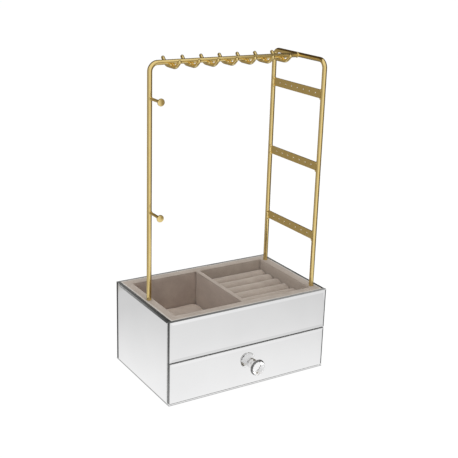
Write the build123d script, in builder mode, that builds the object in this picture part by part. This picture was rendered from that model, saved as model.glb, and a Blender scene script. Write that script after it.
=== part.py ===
from build123d import *
import math
import os

# Mirrored jewelry box with a drawer and a brass-coloured wire stand, in millimetres.
# The origin is the middle of the box's underside, +X to the right of the drawer front,
# -Y out of the drawer front and +Z up.

# Box
case_width = 230.0
case_depth = 148.0
case_height = 110.0
felt_thickness = 1.2
felt_inset = 3.0
base_thickness = 6.0
board_thickness = 11.0
tray_floor_thickness = 4.0
seam_height = 56.0
seam_gap = 1.1

# Mirror glass
glass_thickness = 4.0
glass_bevel = 0.5

# Velvet linings and the partition
rim_thickness = 1.2
rim_roll = 0.8
liner_thickness = 1.0
divider_thickness = 4.0
divider_x = -1.8

# Floor pad of the deep tray
pad_thickness = 3.5
pad_corner = 9.0
pad_edge = 2.2
pad_clearance = 0.4

# Ring cushion: rolls side by side on a raised base
roll_count = 6
roll_height = 20.0
roll_end_round = 4.5
roll_gap = 0.3
roll_top_below_rim = 12.0

# Drawer
drawer_side_clearance = 0.8
drawer_running_gap = 0.4
drawer_closed_gap = 0.3
drawer_rear_gap = 2.0
drawer_front_thickness = 9.0
drawer_side_thickness = 7.0
drawer_bottom_thickness = 3.0
drawer_headroom = 5.5
drawer_glass_side_inset = 0.4
drawer_glass_foot_gap = 0.8

# Crystal knob
knob_height = 29.0
knob_offset = 4.1
knob_facets = 16
knob_girdle_diameter = 21.4
knob_table_diameter = 17.4
knob_seat_diameter = 12.0
knob_neck_diameter = 8.0
knob_rosette_diameter = 13.0
knob_rosette_thickness = 1.4
knob_neck_length = 2.4
knob_seat_thickness = 1.2
knob_pavilion_depth = 6.0
knob_girdle_depth = 0.8
knob_crown_depth = 3.2

# Knob screw
screw_diameter = 4.0
screw_hole_clearance = 0.2
screw_head_diameter = 8.0
screw_head_height = 2.5
screw_tip_clearance = 0.4
screw_slot_width = 1.2
screw_slot_depth = 1.1
screw_slot_length = 4.6
screw_head_break = 0.8

# Wire stand
rod_diameter = 6.0
rod_bend_radius = 10.0
post_inset = 10.2
leg_spacing = 108.0
bar_height = 402.5
leg_seat_depth = 40.0
leg_seat_clearance = 0.1
weld_gap = 0.05
cope_depth = 1.2

# Earring strips
strip_height = 11.0
strip_thickness = 1.5
strip_names = ["upper", "middle", "lower"]
strip_top_drop = 41.5
strip_pitch = 91.5
strip_edge_break = 0.3
earring_hole_diameter = 2.4
earring_hole_count = 7
earring_hole_pitch = 12.8

# Necklace hooks
hook_count = 7
hook_end_margin = 27.7
hook_wire_diameter = 4.4
hook_flat_half = 12.0
hook_reach = 22.6
hook_tip_rise = 9.2
hook_bend_radius = 14.0
hook_tip_break = 0.8

# Bracelet pegs
peg_names = ["upper", "lower"]
peg_top_drop = 40.5
peg_pitch = 138.0
peg_length = 29.5
peg_diameter = 3.5
peg_head_diameter = 9.0
peg_head_thickness = 2.0
peg_head_break = 0.5

# Worked out from the sizes above
rod_radius = rod_diameter / 2
board_width = case_width - 2 * glass_thickness
board_depth = case_depth - 2 * glass_thickness
inner_width = board_width - 2 * board_thickness
inner_depth = board_depth - 2 * board_thickness
base_top = felt_thickness + base_thickness
board_top = case_height - rim_thickness
seam_top = seam_height + seam_gap / 2
seam_bottom = seam_height - seam_gap / 2
tray_floor_top = seam_top + tray_floor_thickness
tray_height = board_top - tray_floor_top
post_x = case_width / 2 - post_inset
leg_seat_bottom = board_top - leg_seat_depth
leg_seat_radius = rod_radius + leg_seat_clearance
left_tray_width = inner_width / 2 + divider_x - divider_thickness / 2
left_tray_x = -inner_width / 2 + left_tray_width / 2
right_tray_width = inner_width / 2 - divider_x - divider_thickness / 2
right_tray_x = inner_width / 2 - right_tray_width / 2

os.makedirs("parts", exist_ok=True)


def write(piece, node):
    piece.part.label = node
    export_step(piece.part, f"parts/{node}.step")


# Felt sheet under the box
with BuildPart() as base_felt:
    with BuildSketch(Plane.XY):
        Rectangle(case_width - 2 * felt_inset, case_depth - 2 * felt_inset)
    extrude(amount=felt_thickness)
write(base_felt, "base_felt")

# Carcass boards, glued edge to face
with BuildPart() as base_board:
    with BuildSketch(Plane.XY.offset(felt_thickness)):
        Rectangle(board_width, board_depth)
    extrude(amount=base_thickness)
write(base_board, "base_board")

side_wall_x = (inner_width + board_thickness) / 2

with BuildPart() as left_wall:
    with BuildSketch(Plane.XY.offset(base_top)):
        with Locations((-side_wall_x, 0)):
            Rectangle(board_thickness, board_depth)
    extrude(amount=board_top - base_top)
    with Locations((-post_x, 0, board_top)):
        Hole(leg_seat_radius, leg_seat_depth)
write(left_wall, "left_wall")

with BuildPart() as right_wall:
    with BuildSketch(Plane.XY.offset(base_top)):
        with Locations((side_wall_x, 0)):
            Rectangle(board_thickness, board_depth)
    extrude(amount=board_top - base_top)
    with Locations((post_x, -leg_spacing / 2, board_top), (post_x, leg_spacing / 2, board_top)):
        Hole(leg_seat_radius, leg_seat_depth)
write(right_wall, "right_wall")

with BuildPart() as back_wall:
    with BuildSketch(Plane.XY.offset(base_top)):
        with Locations((0, (inner_depth + board_thickness) / 2)):
            Rectangle(inner_width, board_thickness)
    extrude(amount=board_top - base_top)
write(back_wall, "back_wall")

with BuildPart() as front_rail:
    with BuildSketch(Plane.XY.offset(seam_top)):
        with Locations((0, -(inner_depth + board_thickness) / 2)):
            Rectangle(inner_width, board_thickness)
    extrude(amount=board_top - seam_top)
write(front_rail, "front_rail")

with BuildPart() as tray_floor:
    with BuildSketch(Plane.XY.offset(seam_top)):
        Rectangle(inner_width, inner_depth)
    extrude(amount=tray_floor_thickness)
write(tray_floor, "tray_floor")

with BuildPart() as divider:
    with BuildSketch(Plane.XY.offset(tray_floor_top)):
        with Locations((divider_x, 0)):
            Rectangle(divider_thickness, inner_depth)
    extrude(amount=tray_height)
write(divider, "divider")

# Mirror panels: the front and back ones cover the edges of the side ones
side_glass_x = (case_width - glass_thickness) / 2
front_glass_y = (case_depth - glass_thickness) / 2

with BuildPart() as left_mirror:
    with BuildSketch(Plane.XY.offset(felt_thickness)):
        with Locations((-side_glass_x, 0)):
            Rectangle(glass_thickness, board_depth)
    extrude(amount=case_height - felt_thickness)
    chamfer(left_mirror.faces().sort_by(Axis.X)[0].edges(), glass_bevel)
write(left_mirror, "left_mirror")

with BuildPart() as right_mirror:
    with BuildSketch(Plane.XY.offset(felt_thickness)):
        with Locations((side_glass_x, 0)):
            Rectangle(glass_thickness, board_depth)
    extrude(amount=case_height - felt_thickness)
    chamfer(right_mirror.faces().sort_by(Axis.X)[-1].edges(), glass_bevel)
write(right_mirror, "right_mirror")

with BuildPart() as back_mirror:
    with BuildSketch(Plane.XY.offset(felt_thickness)):
        with Locations((0, front_glass_y)):
            Rectangle(case_width, glass_thickness)
    extrude(amount=case_height - felt_thickness)
    chamfer(back_mirror.faces().sort_by(Axis.Y)[-1].edges(), glass_bevel)
write(back_mirror, "back_mirror")

with BuildPart() as upper_front_mirror:
    with BuildSketch(Plane.XY.offset(seam_top)):
        with Locations((0, -front_glass_y)):
            Rectangle(case_width, glass_thickness)
    extrude(amount=case_height - seam_top)
    chamfer(upper_front_mirror.faces().sort_by(Axis.Y)[0].edges(), glass_bevel)
write(upper_front_mirror, "upper_front_mirror")

# Velvet over the top edges of the boards, open over the two trays
with BuildPart() as velvet_rim:
    with BuildSketch(Plane.XY.offset(board_top)):
        Rectangle(board_width, board_depth)
        with Locations((left_tray_x, 0)):
            Rectangle(left_tray_width - 2 * liner_thickness, inner_depth - 2 * liner_thickness,
                      mode=Mode.SUBTRACT)
        with Locations((right_tray_x, 0)):
            Rectangle(right_tray_width - 2 * liner_thickness, inner_depth - 2 * liner_thickness,
                      mode=Mode.SUBTRACT)
        with Locations((-post_x, 0), (post_x, -leg_spacing / 2), (post_x, leg_spacing / 2)):
            Circle(leg_seat_radius, mode=Mode.SUBTRACT)
    extrude(amount=rim_thickness)
    window_edges = velvet_rim.faces().sort_by(Axis.Z)[-1].inner_wires().edges().filter_by(GeomType.LINE)
    fillet(window_edges, rim_roll)
write(velvet_rim, "velvet_rim")

# Velvet-covered card round the walls of each tray
for node, width, x in (("left_liner", left_tray_width, left_tray_x),
                       ("right_liner", right_tray_width, right_tray_x)):
    with BuildPart() as liner:
        with BuildSketch(Plane.XY.offset(tray_floor_top)):
            with Locations((x, 0)):
                Rectangle(width, inner_depth)
                Rectangle(width - 2 * liner_thickness, inner_depth - 2 * liner_thickness,
                          mode=Mode.SUBTRACT)
        extrude(amount=tray_height)
    write(liner, node)

# Soft pad on the floor of the deep tray
soft_depth = inner_depth - 2 * liner_thickness - 2 * pad_clearance

with BuildPart() as floor_pad:
    with BuildSketch(Plane.XY.offset(tray_floor_top)):
        with Locations((left_tray_x, 0)):
            RectangleRounded(left_tray_width - 2 * liner_thickness - 2 * pad_clearance, soft_depth,
                             pad_corner)
    extrude(amount=pad_thickness)
    fillet(floor_pad.faces().sort_by(Axis.Z)[-1].edges(), pad_edge)
write(floor_pad, "floor_pad")

# Ring cushion: a covered base that lifts a row of foam rolls close to the rim
roll_length = right_tray_width - 2 * liner_thickness - 2 * pad_clearance
roll_base_top = case_height - roll_top_below_rim - roll_height
roll_pitch = soft_depth / roll_count
roll_width = roll_pitch - roll_gap
roll_start = right_tray_x - roll_length / 2

with BuildPart() as ring_base:
    with BuildSketch(Plane.XY.offset(tray_floor_top)):
        with Locations((right_tray_x, 0)):
            Rectangle(roll_length, soft_depth)
    extrude(amount=roll_base_top - tray_floor_top)
write(ring_base, "ring_base")

for n in range(roll_count):
    roll_y = (n - (roll_count - 1) / 2) * roll_pitch
    roll_end = Plane(origin=(roll_start, roll_y, roll_base_top), x_dir=(0, 1, 0), z_dir=(1, 0, 0))
    with BuildPart() as ring_roll:
        with BuildSketch(roll_end):
            with BuildLine():
                shoulder = roll_height - roll_width / 2
                Line((-roll_width / 2, 0), (roll_width / 2, 0))
                Line((roll_width / 2, 0), (roll_width / 2, shoulder))
                ThreePointArc((roll_width / 2, shoulder), (0, roll_height), (-roll_width / 2, shoulder))
                Line((-roll_width / 2, shoulder), (-roll_width / 2, 0))
            make_face()
        extrude(amount=roll_length)
        end_faces = ring_roll.faces().filter_by(Axis.X)
        fillet(end_faces.edges().filter_by(Axis.Y, reverse=True), roll_end_round)
    write(ring_roll, f"ring_roll_{n + 1}")

# Drawer: its boards run on the base board, and its mirror covers the front edges of the walls
drawer_width = inner_width - 2 * drawer_side_clearance
drawer_face = board_depth / 2 + drawer_closed_gap
drawer_back_y = inner_depth / 2 - drawer_rear_gap
drawer_side_top = seam_top - drawer_headroom
drawer_z = base_top + drawer_running_gap
drawer_front_inner = drawer_face - drawer_front_thickness
drawer_box_depth = drawer_front_inner + drawer_back_y
drawer_box_y = (drawer_back_y - drawer_front_inner) / 2
drawer_inner_width = drawer_width - 2 * drawer_side_thickness
drawer_inner_depth = drawer_box_depth - drawer_side_thickness
drawer_inner_y = drawer_box_y - drawer_side_thickness / 2
screw_hole_radius = screw_diameter / 2 + screw_hole_clearance
knob_plane = Plane(origin=(knob_offset, -drawer_face - glass_thickness, knob_height),
                   x_dir=(1, 0, 0), z_dir=(0, -1, 0))

with BuildPart() as drawer_front:
    with BuildSketch(Plane.XY.offset(drawer_z)):
        with Locations((0, -drawer_face + drawer_front_thickness / 2)):
            Rectangle(drawer_width, drawer_front_thickness)
    extrude(amount=seam_bottom - drawer_z)
    with BuildSketch(knob_plane):
        Circle(screw_hole_radius)
    extrude(amount=-glass_thickness - drawer_front_thickness, mode=Mode.SUBTRACT)
write(drawer_front, "drawer_front")

for node, side in (("drawer_left_side", -1), ("drawer_right_side", 1)):
    with BuildPart() as drawer_side:
        with BuildSketch(Plane.XY.offset(drawer_z)):
            with Locations((side * (drawer_width - drawer_side_thickness) / 2, drawer_box_y)):
                Rectangle(drawer_side_thickness, drawer_box_depth)
        extrude(amount=drawer_side_top - drawer_z)
    write(drawer_side, node)

with BuildPart() as drawer_back:
    with BuildSketch(Plane.XY.offset(drawer_z)):
        with Locations((0, drawer_back_y - drawer_side_thickness / 2)):
            Rectangle(drawer_inner_width, drawer_side_thickness)
    extrude(amount=drawer_side_top - drawer_z)
write(drawer_back, "drawer_back")

with BuildPart() as drawer_bottom:
    with BuildSketch(Plane.XY.offset(drawer_z)):
        with Locations((0, drawer_inner_y)):
            Rectangle(drawer_inner_width, drawer_inner_depth)
    extrude(amount=drawer_bottom_thickness)
write(drawer_bottom, "drawer_bottom")

# Velvet inside the drawer, turned out over the tops of its sides and back
with BuildPart() as drawer_liner:
    with BuildSketch(Plane.XY.offset(drawer_z + drawer_bottom_thickness)):
        with Locations((0, drawer_inner_y)):
            Rectangle(drawer_inner_width, drawer_inner_depth)
    extrude(amount=drawer_side_top - drawer_z - drawer_bottom_thickness)
    with BuildSketch(Plane.XY.offset(drawer_side_top)):
        with Locations((0, drawer_box_y)):
            Rectangle(drawer_width, drawer_box_depth)
    extrude(amount=liner_thickness)
    with BuildSketch(Plane.XY.offset(drawer_z + drawer_bottom_thickness + liner_thickness)):
        with Locations((0, drawer_inner_y)):
            Rectangle(drawer_inner_width - 2 * liner_thickness, drawer_inner_depth - 2 * liner_thickness)
    extrude(amount=seam_bottom, mode=Mode.SUBTRACT)
    with BuildSketch(knob_plane.offset(-glass_thickness - drawer_front_thickness)):
        Circle(screw_hole_radius)
    extrude(amount=-liner_thickness, mode=Mode.SUBTRACT)
write(drawer_liner, "drawer_liner")

drawer_glass_bottom = felt_thickness + drawer_glass_foot_gap

with BuildPart() as drawer_mirror:
    with BuildSketch(Plane.XY.offset(drawer_glass_bottom)):
        with Locations((0, -drawer_face - glass_thickness / 2)):
            Rectangle(case_width - 2 * drawer_glass_side_inset, glass_thickness)
    extrude(amount=seam_bottom - drawer_glass_bottom)
    chamfer(drawer_mirror.faces().sort_by(Axis.Y)[0].edges(), glass_bevel)
    with BuildSketch(knob_plane):
        Circle(screw_hole_radius)
    extrude(amount=-glass_thickness, mode=Mode.SUBTRACT)
write(drawer_mirror, "drawer_mirror")

# Knob: a turned metal base with a tapped hole, and a faceted crystal bonded on its seat
knob_base_length = knob_rosette_thickness + knob_neck_length + knob_seat_thickness
knob_profile = Plane(origin=knob_plane.origin, x_dir=(1, 0, 0), z_dir=(0, 0, -1))

with BuildPart() as knob_base:
    with BuildSketch(knob_profile):
        with BuildLine():
            neck_end = knob_rosette_thickness + knob_neck_length
            Polyline((0, 0), (knob_rosette_diameter / 2, 0),
                     (knob_rosette_diameter / 2, knob_rosette_thickness / 2),
                     (knob_neck_diameter / 2, knob_rosette_thickness),
                     (knob_neck_diameter / 2, neck_end),
                     (knob_seat_diameter / 2, neck_end + knob_seat_thickness / 2),
                     (knob_seat_diameter / 2, knob_base_length),
                     (0, knob_base_length), close=True)
        make_face()
    revolve(axis=Axis(knob_plane.origin, (0, -1, 0)))
    with BuildSketch(knob_plane):
        Circle(screw_diameter / 2)
    extrude(amount=neck_end, mode=Mode.SUBTRACT)
write(knob_base, "knob_base")

girdle_start = knob_base_length + knob_pavilion_depth
girdle_plane = knob_plane.offset(girdle_start)
girdle_back = Plane(origin=girdle_plane.origin, x_dir=(1, 0, 0), z_dir=(0, 1, 0))
flat_share = math.cos(math.pi / knob_facets)
pavilion_rise = (knob_girdle_diameter - knob_seat_diameter) / 2 * flat_share
crown_rise = (knob_girdle_diameter - knob_table_diameter) / 2 * flat_share

with BuildPart() as knob_crystal:
    with BuildSketch(girdle_back):
        RegularPolygon(knob_girdle_diameter / 2, knob_facets)
    extrude(amount=knob_pavilion_depth, taper=math.degrees(math.atan(pavilion_rise / knob_pavilion_depth)))
    with BuildSketch(girdle_plane):
        RegularPolygon(knob_girdle_diameter / 2, knob_facets)
    extrude(amount=knob_girdle_depth)
    with BuildSketch(girdle_plane.offset(knob_girdle_depth)):
        RegularPolygon(knob_girdle_diameter / 2, knob_facets)
    extrude(amount=knob_crown_depth, taper=math.degrees(math.atan(crown_rise / knob_crown_depth)))
write(knob_crystal, "knob_crystal")

# Screw from inside the drawer into the knob's base
screw_seat = knob_plane.offset(-glass_thickness - drawer_front_thickness - liner_thickness)
screw_length = glass_thickness + drawer_front_thickness + liner_thickness + neck_end - screw_tip_clearance

with BuildPart() as knob_screw:
    with BuildSketch(screw_seat):
        Circle(screw_diameter / 2)
    extrude(amount=screw_length)
    with BuildSketch(screw_seat):
        Circle(screw_head_diameter / 2)
    extrude(amount=-screw_head_height)
    chamfer(knob_screw.edges().filter_by(GeomType.CIRCLE).sort_by(Axis.Y)[-1], screw_head_break)
    with BuildSketch(screw_seat.offset(-screw_head_height)):
        Rectangle(screw_slot_length, screw_slot_width)
        Rectangle(screw_slot_width, screw_slot_length)
    extrude(amount=screw_slot_depth, mode=Mode.SUBTRACT)
write(knob_screw, "knob_screw")

# Main rod: the left post, bent over into the bar that ends on the ladder's top
with BuildPart() as main_rod:
    with BuildLine() as rod_path:
        FilletPolyline((-post_x, 0, leg_seat_bottom), (-post_x, 0, bar_height),
                       (post_x - cope_depth, 0, bar_height), radius=rod_bend_radius)
    with BuildSketch(Plane(origin=(-post_x, 0, leg_seat_bottom))):
        Circle(rod_radius)
    sweep(path=rod_path.line)
    with Locations(Location((post_x, 0, bar_height), (90, 0, 0))):
        Cylinder(rod_radius + weld_gap, 4 * rod_diameter, mode=Mode.SUBTRACT)
write(main_rod, "main_rod")

# Ladder rod: two legs and the top between them, one bent piece
with BuildPart() as ladder_rod:
    with BuildLine() as ladder_path:
        FilletPolyline((post_x, -leg_spacing / 2, leg_seat_bottom), (post_x, -leg_spacing / 2, bar_height),
                       (post_x, leg_spacing / 2, bar_height), (post_x, leg_spacing / 2, leg_seat_bottom),
                       radius=rod_bend_radius)
    with BuildSketch(Plane(origin=(post_x, -leg_spacing / 2, leg_seat_bottom))):
        Circle(rod_radius)
    sweep(path=ladder_path.line)
write(ladder_rod, "ladder_rod")

# Punched strips between the legs, for earrings
strip_length = leg_spacing - rod_diameter
for n, name in enumerate(strip_names):
    strip_z = bar_height - strip_top_drop - n * strip_pitch
    with BuildPart() as earring_strip:
        with BuildSketch(Plane(origin=(post_x, 0, strip_z), x_dir=(0, 1, 0), z_dir=(1, 0, 0))):
            Rectangle(strip_length, strip_height)
            with GridLocations(earring_hole_pitch, 1, earring_hole_count, 1):
                Circle(earring_hole_diameter / 2, mode=Mode.SUBTRACT)
        extrude(amount=strip_thickness / 2, both=True)
        chamfer(earring_strip.edges().filter_by(Axis.Y), strip_edge_break)
    write(earring_strip, f"earring_strip_{name}")

# Double-ended necklace hooks, welded under the bar
hook_z = bar_height - rod_radius - hook_wire_diameter / 2 - weld_gap
hook_pitch = 2 * (post_x - hook_end_margin) / (hook_count - 1)
for n in range(hook_count):
    hook_x = -post_x + hook_end_margin + n * hook_pitch
    tip_z = hook_z + hook_tip_rise
    with BuildPart() as necklace_hook:
        with BuildLine() as hook_path:
            FilletPolyline((hook_x, -hook_reach, tip_z), (hook_x, -hook_flat_half, hook_z),
                           (hook_x, hook_flat_half, hook_z), (hook_x, hook_reach, tip_z),
                           radius=hook_bend_radius)
        with BuildSketch(Plane(origin=hook_path.line @ 0, z_dir=hook_path.line % 0)):
            Circle(hook_wire_diameter / 2)
        sweep(path=hook_path.line)
        chamfer(necklace_hook.faces().filter_by(GeomType.PLANE).edges(), hook_tip_break)
    write(necklace_hook, f"necklace_hook_{n + 1}")

# Headed pegs on the left post, pointing to the front
for n, name in enumerate(peg_names):
    peg_z = bar_height - peg_top_drop - n * peg_pitch
    peg_plane = Plane(origin=(-post_x, 0, peg_z), x_dir=(1, 0, 0), z_dir=(0, -1, 0))
    with BuildPart() as peg:
        with BuildSketch(peg_plane.offset(rod_radius / 2)):
            Circle(peg_diameter / 2)
        extrude(amount=peg_length - peg_head_thickness - rod_radius / 2)
        with BuildSketch(peg_plane.offset(peg_length - peg_head_thickness)):
            Circle(peg_head_diameter / 2)
        extrude(amount=peg_head_thickness)
        chamfer(peg.faces().sort_by(Axis.Y)[0].edges(), peg_head_break)
        with Locations((-post_x, 0, peg_z)):
            Cylinder(rod_radius + weld_gap, peg_diameter * 2, mode=Mode.SUBTRACT)
    write(peg, f"peg_{name}")
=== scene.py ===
import math

import bmesh
import bpy
from mathutils import Matrix, Vector, noise


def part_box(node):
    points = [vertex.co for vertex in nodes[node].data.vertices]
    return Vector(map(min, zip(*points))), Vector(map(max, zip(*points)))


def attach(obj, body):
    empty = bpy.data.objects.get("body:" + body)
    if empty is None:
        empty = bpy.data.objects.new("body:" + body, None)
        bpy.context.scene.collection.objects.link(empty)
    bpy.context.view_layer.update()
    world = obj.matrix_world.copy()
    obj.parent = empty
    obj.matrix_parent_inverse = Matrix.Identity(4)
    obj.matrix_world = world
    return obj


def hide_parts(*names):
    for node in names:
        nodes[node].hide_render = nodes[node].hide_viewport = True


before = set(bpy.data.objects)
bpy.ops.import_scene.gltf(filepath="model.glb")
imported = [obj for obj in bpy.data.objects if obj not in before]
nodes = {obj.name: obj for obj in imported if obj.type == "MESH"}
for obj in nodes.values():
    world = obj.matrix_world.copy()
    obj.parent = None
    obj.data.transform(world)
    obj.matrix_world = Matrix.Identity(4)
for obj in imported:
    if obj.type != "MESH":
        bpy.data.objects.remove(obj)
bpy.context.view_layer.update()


# Viewpoint: the holder is seen from its front left, a little from above, through a short
# telephoto lens about 1.2 m away. The camera leans by less than two degrees.
camera_place = Vector((-0.5812, -0.9409, 0.5569))
camera_turn = math.radians(32.105)
camera_drop = math.radians(18.482)
camera_lean = math.radians(1.834)
picture_width = 458
focal_length = 915.8

viewpoint_data = bpy.data.cameras.new("viewpoint")
viewpoint_data.sensor_width = 36.0
viewpoint_data.lens = viewpoint_data.sensor_width * focal_length / picture_width
viewpoint_data.clip_start = 0.05
viewpoint_data.clip_end = 40.0
viewpoint = bpy.data.objects.new("viewpoint", viewpoint_data)
bpy.context.scene.collection.objects.link(viewpoint)
viewpoint.matrix_world = (
    Matrix.Translation(camera_place)
    @ Matrix.Rotation(-camera_turn, 4, "Z")
    @ Matrix.Rotation(math.pi / 2 - camera_drop, 4, "X")
    @ Matrix.Rotation(camera_lean, 4, "Z")
)
bpy.context.scene.camera = viewpoint


# Felt foot: a black felt sheet, cut a little smaller than the box and glued under it, so that
# the box does not scratch the dresser. Its nap is short and dull.
def new_group(name, inputs, outputs):
    """An empty effect with named inputs and outputs, and its two end nodes."""
    group = bpy.data.node_groups.new(name, "ShaderNodeTree")
    for label, kind, value in inputs:
        group.interface.new_socket(label, in_out="INPUT", socket_type=kind).default_value = value
    for label, kind in outputs:
        group.interface.new_socket(label, in_out="OUTPUT", socket_type=kind)
    return group, group.nodes.new("NodeGroupInput"), group.nodes.new("NodeGroupOutput")


def add_effect(tree, group, values):
    """Places an effect with its own values for some of its inputs."""
    effect = tree.nodes.new("ShaderNodeGroup")
    effect.node_tree = group
    for label, value in values.items():
        effect.inputs[label].default_value = value
    return effect


def object_place(tree):
    """Where a point lies on the piece."""
    return tree.nodes.new("ShaderNodeTexCoord").outputs["Object"]


def new_noise(tree, vector, scale, detail, coarse=0.5):
    """A noise pattern on the given coordinates."""
    pattern = tree.nodes.new("ShaderNodeTexNoise")
    pattern.inputs["Scale"].default_value = scale
    pattern.inputs["Detail"].default_value = detail
    pattern.inputs["Roughness"].default_value = coarse
    tree.links.new(vector, pattern.inputs["Vector"])
    return pattern


def calculate(tree, operation, *values):
    """A sum on sockets and plain numbers."""
    math_node = tree.nodes.new("ShaderNodeMath")
    math_node.operation = operation
    for socket, value in zip(math_node.inputs, values):
        if isinstance(value, float):
            socket.default_value = value
        else:
            tree.links.new(value, socket)
    return math_node.outputs["Value"]


def spread(tree, value, low, high, to_low=0.0, to_high=1.0):
    """Maps a pattern's middle range onto another range, held at its ends."""
    fit = tree.nodes.new("ShaderNodeMapRange")
    fit.inputs["From Min"].default_value = low
    fit.inputs["From Max"].default_value = high
    fit.inputs["To Min"].default_value = to_low
    fit.inputs["To Max"].default_value = to_high
    tree.links.new(value, fit.inputs["Value"])
    return fit.outputs["Result"]


def plain_color(tree, color):
    """One color, to be mixed with others."""
    flat = tree.nodes.new("ShaderNodeRGB")
    flat.outputs[0].default_value = (*color, 1)
    return flat.outputs[0]


def mix_colors(tree, share, first, second):
    """Mixes two color sockets by a share from 0 to 1 and returns the result's socket."""
    mix = tree.nodes.new("ShaderNodeMix")
    mix.data_type = "RGBA"
    tree.links.new(share, mix.inputs["Factor"])
    tree.links.new(first, mix.inputs[6])
    tree.links.new(second, mix.inputs[7])
    return mix.outputs[2]


def make_nap():
    """The look of a napped cloth: brushed patches, and single fibres in color and height."""
    group, start, end = new_group(
        "nap",
        [
            ("Pile", "NodeSocketColor", (0.3, 0.3, 0.3, 1)),
            ("Brushed", "NodeSocketColor", (0.4, 0.4, 0.4, 1)),
            ("Shadow", "NodeSocketColor", (0.2, 0.2, 0.2, 1)),
            ("Patch Size", "NodeSocketFloat", 60.0),
            ("Fibre Size", "NodeSocketFloat", 1500.0),
        ],
        [("Color", "NodeSocketColor"), ("Height", "NodeSocketFloat")],
    )
    place = object_place(group)
    streak = group.nodes.new("ShaderNodeMapping")
    streak.inputs["Scale"].default_value = (1.0, 0.45, 1.0)
    streak.inputs["Rotation"].default_value = (0.0, 0.0, 0.35)
    group.links.new(place, streak.inputs["Vector"])
    patch = new_noise(group, streak.outputs["Vector"], scale=60.0, detail=4.0, coarse=0.55)
    group.links.new(start.outputs["Patch Size"], patch.inputs["Scale"])
    fibre = new_noise(group, place, scale=1500.0, detail=2.0, coarse=0.6)
    group.links.new(start.outputs["Fibre Size"], fibre.inputs["Scale"])
    brushed = spread(group, patch.outputs["Fac"], 0.35, 0.68)
    shadowed = spread(group, fibre.outputs["Fac"], 0.30, 0.62, 0.55, 0.0)
    color = mix_colors(group, brushed, start.outputs["Pile"], start.outputs["Brushed"])
    color = mix_colors(group, shadowed, color, start.outputs["Shadow"])
    group.links.new(color, end.inputs["Color"])
    patch_height = 0.35
    height = calculate(group, "MULTIPLY_ADD", patch.outputs["Fac"], patch_height, fibre.outputs["Fac"])
    group.links.new(height, end.inputs["Height"])
    return group


nap = make_nap()


def new_material(name):
    """A material with its one Principled shader."""
    material = bpy.data.materials.new(name)
    material.use_nodes = True
    return material, material.node_tree, material.node_tree.nodes["Principled BSDF"]


def add_bump(tree, shader, height, strength, distance):
    """Raises the surface by a height pattern."""
    bump = tree.nodes.new("ShaderNodeBump")
    bump.inputs["Strength"].default_value = strength
    bump.inputs["Distance"].default_value = distance
    tree.links.new(height, bump.inputs["Height"])
    tree.links.new(bump.outputs["Normal"], shader.inputs["Normal"])


def napped_cloth(name, pile, brushed, shadow, patch, fibre, sheen):
    """Felt or velvet: the nap's color and height, and a soft sheen at grazing angles."""
    material, tree, shader = new_material(name)
    effect = add_effect(tree, nap, {
        "Pile": (*pile, 1), "Brushed": (*brushed, 1), "Shadow": (*shadow, 1),
        "Patch Size": patch, "Fibre Size": fibre,
    })
    tree.links.new(effect.outputs["Color"], shader.inputs["Base Color"])
    add_bump(tree, shader, effect.outputs["Height"], strength=0.35, distance=0.0004)
    shader.inputs["Roughness"].default_value = 0.95
    shader.inputs["Specular IOR Level"].default_value = 0.15
    shader.inputs["Sheen Weight"].default_value = sheen
    shader.inputs["Sheen Roughness"].default_value = 0.45
    shader.inputs["Sheen Tint"].default_value = (1.0, 0.95, 0.88, 1.0)
    return material


def cover(node, material):
    """Gives a solid its one material."""
    nodes[node].data.materials.clear()
    nodes[node].data.materials.append(material)


black_felt = napped_cloth(
    "black felt", pile=(0.012, 0.012, 0.013), brushed=(0.02, 0.02, 0.021), shadow=(0.005, 0.005, 0.005),
    patch=90.0, fibre=2200.0, sheen=0.15,
)
cover("base_felt", black_felt)


# Carcass and drawer boards: fibreboard panels wrapped in black grained paper, glued edge to
# face. They show only inside the drawer's bay and on the drawer's own sides.
board_nodes = [
    "base_board", "left_wall", "right_wall", "back_wall", "front_rail", "tray_floor", "divider",
    "drawer_front", "drawer_left_side", "drawer_right_side", "drawer_back", "drawer_bottom",
]


def make_handling():
    """Uneven roughness, as hands and cloths leave it on a smooth surface."""
    group, start, end = new_group(
        "handling",
        [
            ("Roughness", "NodeSocketFloat", 0.3),
            ("Change", "NodeSocketFloat", 0.05),
            ("Size", "NodeSocketFloat", 40.0),
        ],
        [("Roughness", "NodeSocketFloat")],
    )
    smear = new_noise(group, object_place(group), scale=40.0, detail=5.0, coarse=0.62)
    group.links.new(start.outputs["Size"], smear.inputs["Scale"])
    around = spread(group, smear.outputs["Fac"], 0.3, 0.7, -1.0, 1.0)
    rough = calculate(group, "MULTIPLY_ADD", around, start.outputs["Change"], start.outputs["Roughness"])
    group.links.new(rough, end.inputs["Roughness"])
    return group


handling = make_handling()


def add_handling(tree, shader, roughness, change, size):
    """Lays the uneven roughness on a shader."""
    effect = add_effect(tree, handling, {"Roughness": roughness, "Change": change, "Size": size})
    tree.links.new(effect.outputs["Roughness"], shader.inputs["Roughness"])


def color_ramp(tree, value, stops):
    """Colors along a value from 0 to 1, each stop a place and a color."""
    ramp = tree.nodes.new("ShaderNodeValToRGB")
    for element, (place, color) in zip(ramp.color_ramp.elements, (stops[0], stops[-1])):
        element.position = place
        element.color = (*color, 1)
    for place, color in stops[1:-1]:
        ramp.color_ramp.elements.new(place).color = (*color, 1)
    tree.links.new(value, ramp.inputs["Fac"])
    return ramp.outputs["Color"]


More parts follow.
